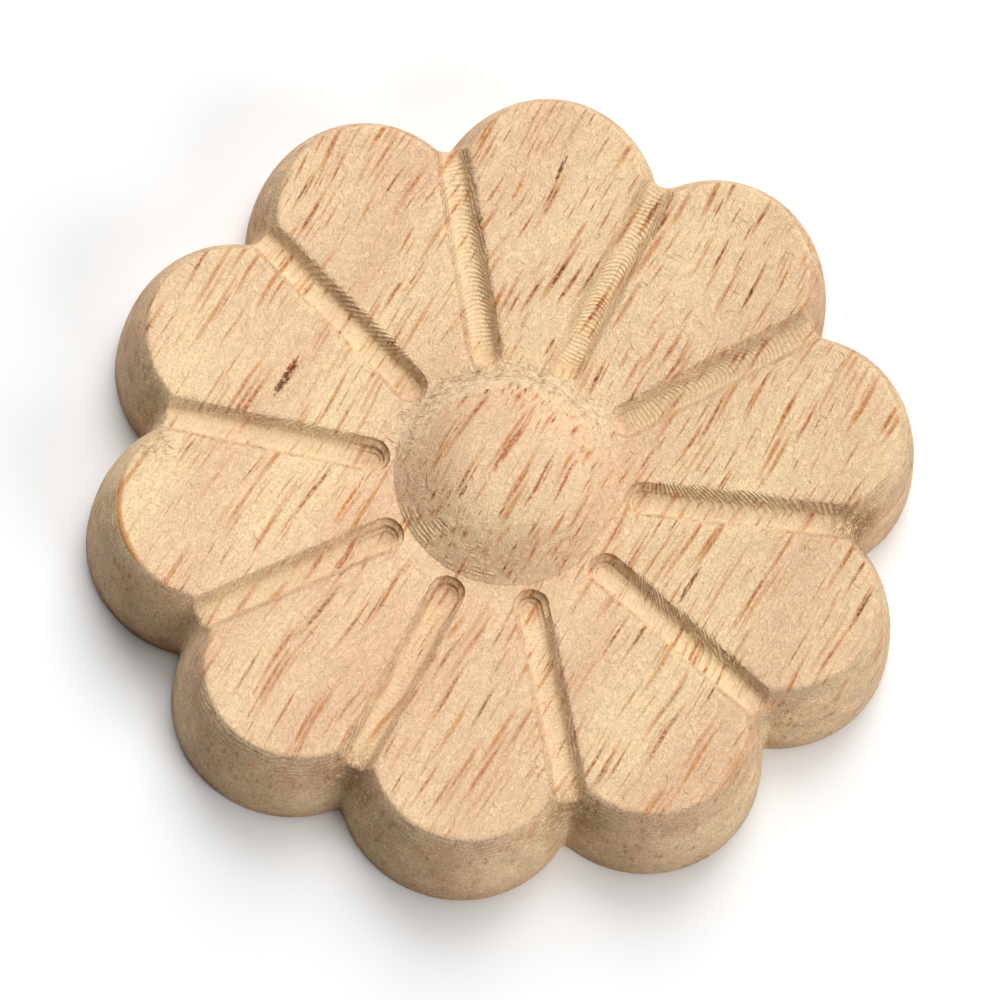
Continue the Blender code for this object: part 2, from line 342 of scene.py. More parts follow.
# Rows, columns and rings of faces, and rounds of the searches for a crossing
STRIP_ROWS = 248
ROWS_PER_PETAL_ROW = 4
END_STEPS = 16
FOOT_ROWS = 4
PETAL_COLUMNS = 14
FILLET_COLUMNS = 2
EDGE_ROWS = 20
RIM_ROWS = 3
FLANK_RINGS = 20
SHOULDER_RINGS = 14
CROWN_RINGS = 8
EDGE_SEARCHES = 12
MOUTH_SEARCHES = 50
ALONG_SEARCHES = 6

# What follows from the sizes, and the bearing where a groove's foot zone ends on the dome's foot
reach = PETAL_RADIUS + NOTCH_FILLET_RADIUS
half_gap = PETAL_CENTRE_RADIUS * math.sin(HALF_PETAL_ANGLE)
FILLET_DISTANCE = PETAL_CENTRE_RADIUS * math.cos(HALF_PETAL_ANGLE) + math.sqrt(reach ** 2 - half_gap ** 2)
FILLET_ARC = math.asin(half_gap / reach)
EDGE_LENGTH_PER_RADIAN = math.hypot(RIM_INSET * math.sin(EDGE_ARC) / (1 - math.cos(EDGE_ARC)),
                                    RIM_HEIGHT / math.tan(EDGE_ARC))
CORNER_EDGE = TOOL_END_RADIUS + TOOL_CORNER_RADIUS * math.cos(TOOL_TAPER)
CORNER_RISE = TOOL_CORNER_RADIUS * (1 - math.sin(TOOL_TAPER))
GROOVE_START = GROOVE_INNER_RADIUS + CORNER_EDGE + (GROOVE_DEPTH - CORNER_RISE) * math.tan(TOOL_TAPER)
FOOT_BEARING = math.atan2(0.95, 6.68)


def face_height(radius):
    """Height of the petals' sloping face at a distance from the middle."""
    return CENTRE_HEIGHT + (RIM_HEIGHT - CENTRE_HEIGHT) * radius / (
        PETAL_CENTRE_RADIUS + PETAL_RADIUS - RIM_INSET)


def dome_height(radius):
    """Height of the dome at a distance from the middle."""
    if radius > SHOULDER_OUTER_RADIUS:
        return face_height(DOME_RADIUS) + (DOME_RADIUS - radius) * math.tan(FLANK_SLOPE)
    height = face_height(DOME_RADIUS) + (DOME_RADIUS - SHOULDER_OUTER_RADIUS) * math.tan(FLANK_SLOPE)
    shoulder_bend = (SHOULDER_OUTER_RADIUS - SHOULDER_INNER_RADIUS) / (
        math.sin(FLANK_SLOPE) - math.sin(CROWN_EDGE_SLOPE))
    shoulder_radius = max(radius, SHOULDER_INNER_RADIUS)
    slope = math.asin(math.sin(FLANK_SLOPE) - (SHOULDER_OUTER_RADIUS - shoulder_radius) / shoulder_bend)
    height += shoulder_bend * (math.cos(slope) - math.cos(FLANK_SLOPE))
    if radius < SHOULDER_INNER_RADIUS:
        crown_bend = SHOULDER_INNER_RADIUS / math.sin(CROWN_EDGE_SLOPE)
        slope = math.asin(radius / crown_bend)
        height += crown_bend * (math.cos(slope) - math.cos(CROWN_EDGE_SLOPE))
    return height


def tool_height(offset):
    """Height of the cutter above its lowest point, at a distance from its axis."""
    if offset < CORNER_EDGE:
        past_end = max(offset - TOOL_END_RADIUS, 0.0)
        return TOOL_CORNER_RADIUS - math.sqrt(TOOL_CORNER_RADIUS ** 2 - past_end ** 2)
    return CORNER_RISE + (offset - CORNER_EDGE) / math.tan(TOOL_TAPER)


def groove_edge(along, direction):
    """Distance from the cutter's axis to the groove's top edge, in one direction."""
    floor = face_height(along) - GROOVE_DEPTH
    offset = CORNER_EDGE
    for _ in range(EDGE_SEARCHES):
        x = along + offset * math.cos(direction)
        y = offset * math.sin(direction)
        offset = CORNER_EDGE + (face_height(math.hypot(x, y)) - floor - CORNER_RISE) * math.tan(TOOL_TAPER)
    return offset


def groove_height(along, offset, line):
    """Height of a numbered line of the groove, at a place along the groove and beside its middle."""
    if line > EDGE_LINE:
        return face_height(math.hypot(along, offset))
    wear = EDGE_WEAR if line == EDGE_LINE else 0.0
    return face_height(along) - GROOVE_DEPTH + tool_height(offset) - wear


def clamped(share):
    """A share, kept between none and the whole."""
    return min(max(share, 0.0), 1.0)


def mark_lag(offset):
    """How far a tool mark lies behind its foremost point, which is in the groove's middle."""
    on_floor = min(offset, CORNER_EDGE)
    lag = MARK_ARC_RADIUS - math.sqrt(MARK_ARC_RADIUS ** 2 - on_floor ** 2)
    return lag + max(offset - CORNER_EDGE, 0.0) * MARK_WALL_SLANT


def mark_lean(along):
    """Share of the lag that the marks have reached: none at both ends of the groove."""
    length = mouths[0][2] - GROOVE_START
    share = clamped(min(along - GROOVE_START, mouths[0][2] - along) / (MARK_LEAN_SHARE * length))
    return share * share * (3 - 2 * share)


def notch_point(bearing, inset):
    """Plan point of the outline's fillet, seen from the fillet's centre."""
    radius = NOTCH_FILLET_RADIUS + inset
    return FILLET_DISTANCE - radius * math.cos(bearing), radius * math.sin(bearing)


def petal_point(bearing, inset):
    """Plan point of the petal's round edge, at an angle from the petal's middle line."""
    radius = PETAL_RADIUS - inset
    angle = HALF_PETAL_ANGLE - bearing
    return (PETAL_CENTRE_RADIUS * math.cos(HALF_PETAL_ANGLE) + radius * math.cos(angle),
            PETAL_CENTRE_RADIUS * math.sin(HALF_PETAL_ANGLE) + radius * math.sin(angle))


def edge_point(outline_point, bearing, arc):
    """Point of the edge, from the back at arc 0 up to the rim at the whole arc."""
    rim_x, rim_y = outline_point(bearing, RIM_INSET + SKIN)
    inset = SKIN + RIM_INSET * (1 - math.cos(arc)) / (1 - math.cos(EDGE_ARC))
    x, y = outline_point(bearing, inset)
    return x, y, face_height(math.hypot(rim_x, rim_y)) * math.sin(arc) / math.sin(EDGE_ARC)


def worn_point(low, high, far, share):
    """Point of a worn edge that runs from low to far and would have had its corner at high."""
    return [(1 - share) ** 2 * a + 2 * share * (1 - share) * b + share ** 2 * c
            for a, b, c in zip(low, high, far)]


def groove_mouth(line):
    """Where a numbered line of the groove runs out through the edge."""
    share = GROOVE_LINES[line]
    low, high = 0.0, EDGE_ARC
    for _ in range(MOUTH_SEARCHES):
        arc = (low + high) / 2
        radius = NOTCH_FILLET_RADIUS + SKIN + RIM_INSET * (1 - math.cos(arc)) / (1 - math.cos(EDGE_ARC))
        along = FILLET_DISTANCE - radius
        for _ in range(ALONG_SEARCHES):
            offset = share * groove_edge(along, math.pi / 2)
            along = FILLET_DISTANCE - math.sqrt(max(radius ** 2 - offset ** 2, 0.0))
        if radius <= offset:
            low = arc
            continue
        bearing = math.asin(offset / radius)
        if edge_point(notch_point, bearing, arc)[2] < groove_height(along, offset, line):
            low = arc
        else:
            high = arc
    return bearing, arc, along


def put_in_scene(name, data):
    """Make an object of its data and link it to the scene."""
    made = bpy.data.objects.new(name, data)
    bpy.context.scene.collection.objects.link(made)
    return made


points = []
point_at = {}
cuts = {"mark_row": [], "floor_mark": [], "wall_mark": [], "terrace": [], "frayed": []}
faces = []


def corner(x, y, z, **cut):
    """Index of the sector's point at a place, with what the cutter left there."""
    key = (round(x * 1e7), round(y * 1e7), round(z * 1e7))
    if key not in point_at:
        point_at[key] = len(points)
        points.append((x, y, z))
        for name, values in cuts.items():
            values.append(cut.get(name, 0.0))
    return point_at[key]


def line_cut(number, along):
    """What the cutter left at a numbered line of the groove, at a distance along it."""
    on_floor = clamped((CORNER_LINE + 1 - number) / 2)
    on_wall = 1.0 - on_floor if number <= EDGE_LINE else 0.0
    steps = (1.0, -1.0)[number % 2] if CORNER_LINE - 1 <= number <= EDGE_LINE else 0.0
    fade = clamped(1.0 - (along - GROOVE_START) / STEPS_REACH)
    begun = clamped((along - GROOVE_START) / MARKS_BEGIN) * clamped((mouths[number][2] - along) / MARKS_END)
    return {"mark_row": along / MM, "floor_mark": on_floor * begun, "wall_mark": on_wall * begun,
            "terrace": steps * (LEAST_STEP_SHARE + (1 - LEAST_STEP_SHARE) * fade),
            "frayed": float(number == EDGE_LINE)}


def add_face(side, *corners):
    """Face of the sector from its corners, turned over on the mirrored side."""
    distinct = [c for index, c in enumerate(corners) if c != corners[index - 1]]
    if len(set(distinct)) > 2:
        faces.append(distinct if side > 0 else distinct[::-1])


def add_grid(side, rows):
    """Faces between rows of corners that run the same way."""
    for row, following in zip(rows, rows[1:]):
        for index in range(len(row) - 1):
            add_face(side, row[index], row[index + 1], following[index + 1], following[index])


mouths = [groove_mouth(line) for line in range(len(GROOVE_LINES))]
rim_edge_arc = mouths[-1][0]

for side in (1, -1):

    # Groove: the round inner end, then the straight run out to the notch
    end_rows = []
    for step in range(END_STEPS + 1):
        angle = math.pi - math.pi / 2 * step / END_STEPS
        edge = groove_edge(GROOVE_START, angle)
        row = []
        for line, share in enumerate(GROOVE_LINES):
            offset = share * edge
            x, y = GROOVE_START + offset * math.cos(angle), offset * math.sin(angle)
            height = (face_height(math.hypot(x, y)) if line > EDGE_LINE
                      else groove_height(GROOVE_START, offset, line))
            row.append(corner(x, side * y, height, **line_cut(line, GROOVE_START)))
        end_rows.append(row)
    add_grid(-side, end_rows)

    strip_rows = [end_rows[-1]]
    for step in range(1, STRIP_ROWS + 1):
        row = []
        for line, (share, mouth) in enumerate(zip(GROOVE_LINES, mouths)):
            mark_row = GROOVE_START + (mouth[2] - RIM_WEAR - GROOVE_START) * step / STRIP_ROWS
            lag = mark_lag(share * groove_edge(mark_row, math.pi / 2))
            along = mark_row - lag * mark_lean(mark_row)
            offset = share * groove_edge(along, math.pi / 2)
            row.append(corner(along, side * offset, groove_height(along, offset, line),
                              **line_cut(line, mark_row)))
        strip_rows.append(row)
    add_grid(-side, strip_rows)

    # Edge: below the groove's mouth, then round the notch and the petal
    top_of_edge = [(notch_point, bearing, arc, index)
                   for (bearing, arc, _), index in zip(mouths, strip_rows[-1])]
    top_of_edge += [
        (notch_point, rim_edge_arc + (FILLET_ARC - rim_edge_arc) * step / FILLET_COLUMNS, EDGE_ARC, None)
        for step in range(1, FILLET_COLUMNS + 1)]
    petal_steps = PETAL_COLUMNS - FILLET_COLUMNS
    petal_bearing = FILLET_ARC + HALF_PETAL_ANGLE
    top_of_edge += [(petal_point, petal_bearing * (1 - step / petal_steps), EDGE_ARC, None)
                    for step in range(1, petal_steps + 1)]
    columns = []
    for outline_point, bearing, arc, top in top_of_edge:
        worn_arc = arc - RIM_WEAR / EDGE_LENGTH_PER_RADIAN
        column = []
        for step in range(EDGE_ROWS):
            x, y, z = edge_point(outline_point, bearing, worn_arc * step / EDGE_ROWS)
            column.append(corner(x, side * y, z))
        if top is None:
            x, y = outline_point(bearing, RIM_INSET + SKIN + RIM_WEAR)
            far = (x, y, face_height(math.hypot(x, y)))
            top = corner(x, side * y, far[2])
        else:
            far = (points[top][0], abs(points[top][1]), points[top][2])
        low = edge_point(outline_point, bearing, worn_arc)
        high = edge_point(outline_point, bearing, arc)
        for step in range(RIM_ROWS):
            x, y, z = worn_point(low, high, far, step / RIM_ROWS)
            column.append(corner(x, side * y, z))
        columns.append(column + [top])
    add_grid(-side, columns)

    # Back
    middle_of_back = corner(0.0, 0.0, 0.0)
    for column, following in zip(columns, columns[1:]):
        add_face(-side, column[0], following[0], middle_of_back)

    # Face between the dome's foot and the groove's round end
    half_end = END_STEPS // 2
    foot = []
    foot_rows = []
    for step in range(half_end + 1):
        bearing = FOOT_BEARING * step / half_end
        x, y = DOME_RADIUS * math.cos(bearing), DOME_RADIUS * math.sin(bearing)
        far_x, far_y, _ = points[end_rows[step][-1]]
        row = []
        for part in range(FOOT_ROWS):
            near_x = x + (far_x - x) * part / FOOT_ROWS
            near_y = y + (abs(far_y) - y) * part / FOOT_ROWS
            row.append(corner(near_x, side * near_y, face_height(math.hypot(near_x, near_y))))
        foot.append(row[0])
        foot_rows.append(row + [end_rows[step][-1]])
    add_grid(side, foot_rows)

    # Petal face: from the groove's edge to the petal's middle line, blended between its four sides
    near_line = foot_rows[-1] + [row[-1] for row in end_rows[half_end + 1:]]
    near_line += [row[-1] for row in strip_rows[ROWS_PER_PETAL_ROW::ROWS_PER_PETAL_ROW]]
    near = [(points[index][0], abs(points[index][1])) for index in near_line]
    far_tip = points[columns[-1][-1]]
    tip_radius = math.hypot(far_tip[0], far_tip[1])
    top = [(points[column[-1]][0], abs(points[column[-1]][1])) for column in columns[len(mouths) - 1:]]
    bottom = []
    for column in range(PETAL_COLUMNS + 1):
        bearing = FOOT_BEARING + (HALF_PETAL_ANGLE - FOOT_BEARING) * column / PETAL_COLUMNS
        bottom.append((DOME_RADIUS * math.cos(bearing), DOME_RADIUS * math.sin(bearing)))
    petal_rows = []
    for row_number, (near_x, near_y) in enumerate(near):
        upward = (near_x - near[0][0]) / (near[-1][0] - near[0][0])
        axis_radius = DOME_RADIUS + (tip_radius - DOME_RADIUS) * upward
        axis_x = axis_radius * math.cos(HALF_PETAL_ANGLE)
        axis_y = axis_radius * math.sin(HALF_PETAL_ANGLE)
        row = [near_line[row_number]]
        for column in range(1, PETAL_COLUMNS + 1):
            outward = column / PETAL_COLUMNS
            x, y = ((1 - outward) * n + outward * a + (1 - upward) * b + upward * t
                    - (1 - outward) * (1 - upward) * b0 - outward * (1 - upward) * b1
                    - (1 - outward) * upward * t0 - outward * upward * t1
                    for n, a, b, t, b0, b1, t0, t1 in zip(
                        (near_x, near_y), (axis_x, axis_y), bottom[column], top[column],
                        bottom[0], bottom[-1], top[0], top[-1]))
            row.append(corner(x, side * y, face_height(math.hypot(x, y))))
        petal_rows.append(row)
    first_strip_row = FOOT_ROWS + half_end
    for number, (row, following) in enumerate(zip(petal_rows, petal_rows[1:])):
        if number < first_strip_row:
            add_face(-side, row[0], row[1], following[1], following[0])
        else:
            start = (number - first_strip_row) * ROWS_PER_PETAL_ROW
            edge_run = [strip_rows[start + step][-1] for step in range(ROWS_PER_PETAL_ROW, -1, -1)]
            add_face(-side, row[1], following[1], *edge_run)
        for index in range(1, PETAL_COLUMNS):
            add_face(-side, row[index], row[index + 1], following[index + 1], following[index])

    # Dome: rings that halve their points twice on the way up
    foot += petal_rows[0][1:]
    bearings = [math.atan2(abs(points[index][1]), points[index][0]) for index in foot]
    radii = [DOME_RADIUS + (SHOULDER_OUTER_RADIUS - DOME_RADIUS) * step / FLANK_RINGS
             for step in range(1, FLANK_RINGS + 1)]
    radii += [SHOULDER_OUTER_RADIUS + (SHOULDER_INNER_RADIUS - SHOULDER_OUTER_RADIUS) * step / SHOULDER_RINGS
              for step in range(1, SHOULDER_RINGS + 1)]
    radii += [SHOULDER_INNER_RADIUS * (1 - step / CROWN_RINGS) for step in range(1, CROWN_RINGS)]
    ring = foot
    halve_at = (radii[0], radii[FLANK_RINGS + SHOULDER_RINGS])
    for number, radius in enumerate(radii):
        step = (1.0, -1.0)[number % 2] * clamped((radius / MM - RINGS_END_MM) / RINGS_FADE_MM)
        skip = 2 if radius in halve_at and len(bearings) % 2 else 1
        bearings = bearings[::skip]
        inner = [corner(radius * math.cos(b), side * radius * math.sin(b), dome_height(radius),
                        terrace=step, frayed=abs(step)) for b in bearings]
        for index in range(len(inner) - 1):
            outer = ring[skip * index:skip * (index + 1) + 1]
            add_face(side, inner[index], *outer, inner[index + 1])
        ring = inner
    crown = corner(0.0, 0.0, dome_height(0.0))
    for index in range(len(ring) - 1):
        add_face(side, crown, ring[index], ring[index + 1])

sector_mesh = bpy.data.meshes.new("sector")
sector_mesh.from_pydata(points, [], faces)
for name, values in cuts.items():
    sector_mesh.attributes.new(name, "FLOAT", "POINT").data.foreach_set("value", values)
sector = put_in_scene("sector", sector_mesh)

# Tool marks of the ten grooves, counted from the +X petal, in mm: their spacing on the floor and on the
# walls, their depth on the floor and on the walls, and the depth of the steps at the inner end
TOOL_MARKS = (
    (0.29, 0.29, 0.058, 0.014, 0.030), (0.27, 0.27, 0.062, 0.010, 0.025), (0.29, 0.29, 0.060, 0.018, 0.030),
    (0.42, 0.42, 0.016, 0.080, 0.035), (0.38, 0.38, 0.014, 0.055, 0.070), (0.34, 0.34, 0.018, 0.030, 0.070),
    (0.33, 0.33, 0.022, 0.022, 0.065), (0.28, 0.28, 0.026, 0.030, 0.065), (0.58, 0.29, 0.034, 0.050, 0.055),
    (0.64, 0.32, 0.052, 0.065, 0.045))
places_mesh = bpy.data.meshes.new("groove_places")
places_mesh.from_pydata([(0.0, 0.0, 0.0)] * PETAL_COUNT, [], [])
for column, name in enumerate(("floor_spacing", "wall_spacing", "floor_depth", "wall_depth", "step_depth")):
    places_mesh.attributes.new(name, "FLOAT", "POINT").data.foreach_set(
        "value", [marks[column] for marks in TOOL_MARKS])
places = put_in_scene("rosette_places", places_mesh)


def open_tree(name, **inputs):
    """Make a Geometry Nodes tree with its inputs, and give it with the inputs' identifiers."""
    tree = bpy.data.node_groups.new(name, "GeometryNodeTree")
    tree.interface.new_socket("Geometry", in_out="OUTPUT", socket_type="NodeSocketGeometry")
    tree.interface.new_socket("Geometry", in_out="INPUT", socket_type="NodeSocketGeometry")
    identifiers = {}
    for input_name, kind in inputs.items():
        socket = tree.interface.new_socket(input_name, in_out="INPUT", socket_type="NodeSocket" + kind)
        identifiers[input_name] = socket.identifier
    return tree, identifiers


def plain_mesh(holder, tree, identifiers, mesh_name, **values):
    """Run a tree with its input values on an object, and turn the result into a plain mesh."""
    modifier = holder.modifiers.new(tree.name, "NODES")
    modifier.node_group = tree
    for input_name, value in values.items():
        modifier[identifiers[input_name]] = value
    mesh = bpy.data.meshes.new_from_object(holder.evaluated_get(bpy.context.evaluated_depsgraph_get()))
    mesh.name = mesh_name
    bpy.data.objects.remove(holder)
    return mesh


rounding, rounding_inputs = open_tree(
    "turn_sector_round", sector="Object", first_groove_angle="Float", groove_angle_step="Float",
    seam_tolerance="Float", ring_depth_on_the_dome="Float", sharp_edge_angle="Float", unevenness="Float",
    fraying_of_the_grooves="Float", wood="Material")
given = add(rounding, "NodeGroupInput").outputs

sector_shape = add(rounding, "GeometryNodeObjectInfo", {"Object": given["sector"]}).outputs["Geometry"]
number = add(rounding, "GeometryNodeInputIndex")
turn = add(rounding, "Math", number, given["groove_angle_step"], given["first_groove_angle"],
           operation="MULTIPLY_ADD")
turn_angles = add(rounding, "CombineXYZ", {"Z": turn})
turn_rotation = add(rounding, "FunctionNodeEulerToRotation", turn_angles)
sectors = add(rounding, "GeometryNodeInstanceOnPoints", {
    "Points": given["Geometry"], "Instance": sector_shape, "Rotation": turn_rotation})
whole = add(rounding, "GeometryNodeRealizeInstances", sectors)
joined = add(rounding, "GeometryNodeMergeByDistance", whole, {"Distance": given["seam_tolerance"]})

# Marks: each row of points across a groove follows one mark, with a sharp ridge between two hollows.
# The ridge takes its share of the depth above the true surface.
RIDGE_SHARE = 0.6
cut = {name: add(rounding, "GeometryNodeInputNamedAttribute", {"Name": name})
       for name in ("mark_row", "floor_mark", "wall_mark", "terrace", "frayed",
                    "floor_spacing", "wall_spacing", "floor_depth", "wall_depth", "step_depth")}
where = add(rounding, "GeometryNodeInputPosition")
where_mm = add(rounding, "VectorMath", where, {"Scale": 1 / MM}, operation="SCALE")
unsteady = add(rounding, "TexNoise", {"Vector": where_mm, "Scale": 0.6, "Detail": 3.0})
unsteady_row = add(rounding, "Math", unsteady, 0.6, cut["mark_row"], operation="MULTIPLY_ADD")
patch = add(rounding, "TexNoise", {"Vector": where_mm, "Scale": 0.9, "Detail": 2.0})
patch_strength = add(rounding, "MapRange", patch, 0.3, 0.7, 0.45, 1.3)
mark = 0.0
for part in ("floor", "wall"):
    phase = add(rounding, "Math", unsteady_row, cut[part + "_spacing"], operation="DIVIDE")
    half_turns = add(rounding, "Math", phase, math.pi, operation="MULTIPLY")
    wave = add(rounding, "Math", half_turns, operation="SINE")
    hollow = add(rounding, "Math", wave, operation="ABSOLUTE")
    ridge = add(rounding, "Math", RIDGE_SHARE, hollow, operation="SUBTRACT")
    depth = add(rounding, "Math", cut[part + "_mark"], cut[part + "_depth"], operation="MULTIPLY")
    patchy = add(rounding, "Math", depth, patch_strength, operation="MULTIPLY")
    mark = add(rounding, "Math", ridge, patchy, mark, operation="MULTIPLY_ADD")

# Steps: rings round each groove's inner end, and finer ones on the dome, deepest on its lower left
DOME_MARGIN_MM = 0.1
WORN_SIDE = (-0.7, -0.7, 0.0)
in_plan_mm = add(rounding, "VectorMath", where_mm, (1.0, 1.0, 0.0), operation="MULTIPLY")
radius_mm = add(rounding, "VectorMath", in_plan_mm, operation="LENGTH")
on_dome = add(rounding, "FunctionNodeCompare", radius_mm, DOME_RADIUS / MM + DOME_MARGIN_MM,
              operation="LESS_THAN")
end_steps = add(rounding, "Math", cut["step_depth"], patch_strength, operation="MULTIPLY")
worn_side = add(rounding, "VectorMath", in_plan_mm, WORN_SIDE, operation="DOT_PRODUCT")
dome_share = add(rounding, "MapRange", worn_side, 2.5, 5.5, 0.25, 1.0)
ring_patch = add(rounding, "MapRange", patch, 0.36, 0.62, 0.35, 1.15)
ring_share = add(rounding, "Math", dome_share, ring_patch, operation="MULTIPLY")
ring_depth = add(rounding, "Math", ring_share, given["ring_depth_on_the_dome"], operation="MULTIPLY")
step_size = add(rounding, "GeometryNodeSwitch", {"Switch": on_dome, "False": end_steps, "True": ring_depth},
                input_type="FLOAT")
marks = add(rounding, "Math", cut["terrace"], step_size, mark, operation="MULTIPLY_ADD")

# Unevenness: the cut surface is never quite true, and the crisp edges are a little frayed
waves = add(rounding, "TexNoise", {"Vector": where_mm, "Scale": 0.5, "Detail": 3.0})
uneven = add(rounding, "Math", waves, given["unevenness"], operation="MULTIPLY")
lift_mm = add(rounding, "Math", marks, uneven, operation="SUBTRACT")
lift = add(rounding, "Math", lift_mm, MM, operation="MULTIPLY")
outwards = add(rounding, "GeometryNodeInputNormal")
shift = add(rounding, "VectorMath", outwards, {"Scale": lift}, operation="SCALE")
tear = add(rounding, "TexNoise", {"Vector": where_mm, "Scale": 2.4, "Detail": 2.0}).outputs["Color"]
tear_centred = add(rounding, "VectorMath", tear, (0.5, 0.5, 0.5), operation="SUBTRACT")
fraying = add(rounding, "Math", cut["frayed"], given["fraying_of_the_grooves"], operation="MULTIPLY")
torn = add(rounding, "VectorMath", tear_centred, {"Scale": fraying}, operation="SCALE")
moved = add(rounding, "VectorMath", shift, torn, operation="ADD")
height_above_back = add(rounding, "SeparateXYZ", where_mm).outputs[2]
off_back = add(rounding, "FunctionNodeCompare", height_above_back, 0.01, operation="GREATER_THAN")
carved = add(rounding, "GeometryNodeSetPosition", {
    "Geometry": joined, "Selection": off_back, "Offset": moved})

edge_angle = add(rounding, "GeometryNodeInputMeshEdgeAngle")
soft_edge = add(rounding, "FunctionNodeCompare", edge_angle, given["sharp_edge_angle"], operation="LESS_THAN")
smooth_faces = add(rounding, "GeometryNodeSetShadeSmooth", {"Geometry": carved, "Shade Smooth": True},
                   domain="FACE")
smooth = add(rounding, "GeometryNodeSetShadeSmooth", {"Geometry": smooth_faces, "Shade Smooth": soft_edge},
             domain="EDGE")
finished = add(rounding, "GeometryNodeRealizeInstances", smooth)
coloured = add(rounding, "GeometryNodeSetMaterial", {"Geometry": finished, "Material": given["wood"]})
add(rounding, "NodeGroupOutput", coloured)

rosette_mesh = plain_mesh(
    places, rounding, rounding_inputs, "carved_rosette", sector=sector,
    first_groove_angle=HALF_PETAL_ANGLE, groove_angle_step=2 * HALF_PETAL_ANGLE,
    seam_tolerance=0.002 * MM, ring_depth_on_the_dome=0.019, sharp_edge_angle=math.radians(30),
    unevenness=0.03, fraying_of_the_grooves=0.15 * MM, wood=rubberwood)
carved_rosette = put_in_scene("carved_rosette", rosette_mesh)
bpy.data.objects.remove(sector)

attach(carved_rosette, "root")
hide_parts("rosette")


# Loose fibres
# Wisps of torn rubberwood, about 0.04 mm thick, that the cutter left rooted in the surface: thickest
# round the upper side of the dome's foot and at one notch, and thinly strewn over the rest.

FIBRE_LENGTH = 0.60 * MM
FIBRE_RADIUS = 0.020 * MM
FIBRE_TIP_SHARE = 0.35
FIBRE_SUNK = 0.012 * MM
FIBRE_RINGS = 7
TUFT_RADIUS_MM = 6.65
TUFT_BEARING = math.radians(82)
TUFT_NOTCH_MM = (-20.9, 5.0, 6.3)
HIGHEST_ROOT_MM = 7.05
LEAST_FACING_UP = 0.6

# Torn rubberwood fibre: matt, pale and a little blotchy, lighter than the cut wood under it
torn_fibre = bpy.data.materials.new("torn_rubberwood_fibre")
torn_fibre.use_nodes = True
wisp = torn_fibre.node_tree
wisp.nodes.clear()
wisp_place = add(wisp, "TexCoord").outputs["Object"]
wisp_noise = add(wisp, "TexNoise", {"Vector": wisp_place, "Scale": 1.8 / MM, "Detail": 1.0})
wisp_colour = add(wisp, "ValToRGB", wisp_noise)
set_stops(wisp_colour, (0.35, "#E6CBA0"), (0.60, "#F5E3C3"))
wisp_surface = add(wisp, "BsdfPrincipled", {"Base Color": wisp_colour, "Roughness": 0.8, "IOR": 1.5})
add(wisp, "OutputMaterial", {"Surface": wisp_surface})

# Three kinds of fibre, each bowed and arched in its own way, with three sides and closed ends
fibre_kinds = bpy.data.collections.new("fibre_kinds")
for bow, rise in ((0.10 * MM, 0.05 * MM), (-0.15 * MM, 0.07 * MM), (0.22 * MM, 0.04 * MM)):
    ring_points = []
    for ring in range(FIBRE_RINGS):
        share = ring / (FIBRE_RINGS - 1)
        arch = math.sin(math.pi * share)
        thickness = FIBRE_RADIUS * (FIBRE_TIP_SHARE + (1 - FIBRE_TIP_SHARE) * arch)
        for side in range(3):
            angle = 2 * math.pi * side / 3
            ring_points.append((FIBRE_LENGTH * share, bow * arch + thickness * math.cos(angle),
                                (rise + FIBRE_SUNK) * arch - FIBRE_SUNK + thickness * math.sin(angle)))
    last = 3 * (FIBRE_RINGS - 1)
    fibre_faces = [(2, 1, 0), (last, last + 1, last + 2)]
    for ring in range(FIBRE_RINGS - 1):
        for side in range(3):
            here, beside = 3 * ring + side, 3 * ring + (side + 1) % 3
            fibre_faces.append((here, beside, beside + 3, here + 3))
    fibre_mesh = bpy.data.meshes.new("fibre")
    fibre_mesh.from_pydata(ring_points, [], fibre_faces)
    fibre_mesh.shade_smooth()
    fibre_kinds.objects.link(bpy.data.objects.new("fibre", fibre_mesh))

strewing, strewing_inputs = open_tree(
    "strew_fibres", carved_wood="Object", fibre_kinds="Collection", fibres_per_mm2="Float",
    fibres_per_mm2_in_tufts="Float", seed="Int", fibre_material="Material")
asked = add(strewing, "NodeGroupInput").outputs

wood_shape = add(strewing, "GeometryNodeObjectInfo", {"Object": asked["carved_wood"]}).outputs["Geometry"]
root = add(strewing, "GeometryNodeInputPosition")
root_mm = add(strewing, "VectorMath", root, {"Scale": 1 / MM}, operation="SCALE")
root_axes = add(strewing, "SeparateXYZ", root_mm).outputs
root_plan = add(strewing, "VectorMath", root_mm, (1.0, 1.0, 0.0), operation="MULTIPLY")
root_radius = add(strewing, "VectorMath", root_plan, operation="LENGTH")
root_bearing = add(strewing, "Math", root_axes[1], root_axes[0], operation="ARCTAN2")

# Tufts: an arc round the dome's foot and a spot at the notch
at_foot = nearness(strewing, root_radius, TUFT_RADIUS_MM, 0.9, 0.35)
in_arc = nearness(strewing, root_bearing, TUFT_BEARING, math.radians(80), math.radians(45))
foot_tuft = add(strewing, "Math", at_foot, in_arc, operation="MULTIPLY")
from_notch = add(strewing, "VectorMath", root_mm, TUFT_NOTCH_MM, operation="DISTANCE")
notch_tuft = add(strewing, "MapRange", from_notch, 2.2, 0.6)
tuft = add(strewing, "Math", foot_tuft, notch_tuft, operation="MAXIMUM")
thin_noise = add(strewing, "TexNoise", {"Vector": root_mm, "Scale": 0.35, "Detail": 2.0})
thin_patch = add(strewing, "MapRange", thin_noise, 0.35, 0.65, 0.3, 1.7)
thin = add(strewing, "Math", thin_patch, asked["fibres_per_mm2"], operation="MULTIPLY")
thick = add(strewing, "Math", tuft, asked["fibres_per_mm2_in_tufts"], thin, operation="MULTIPLY_ADD")

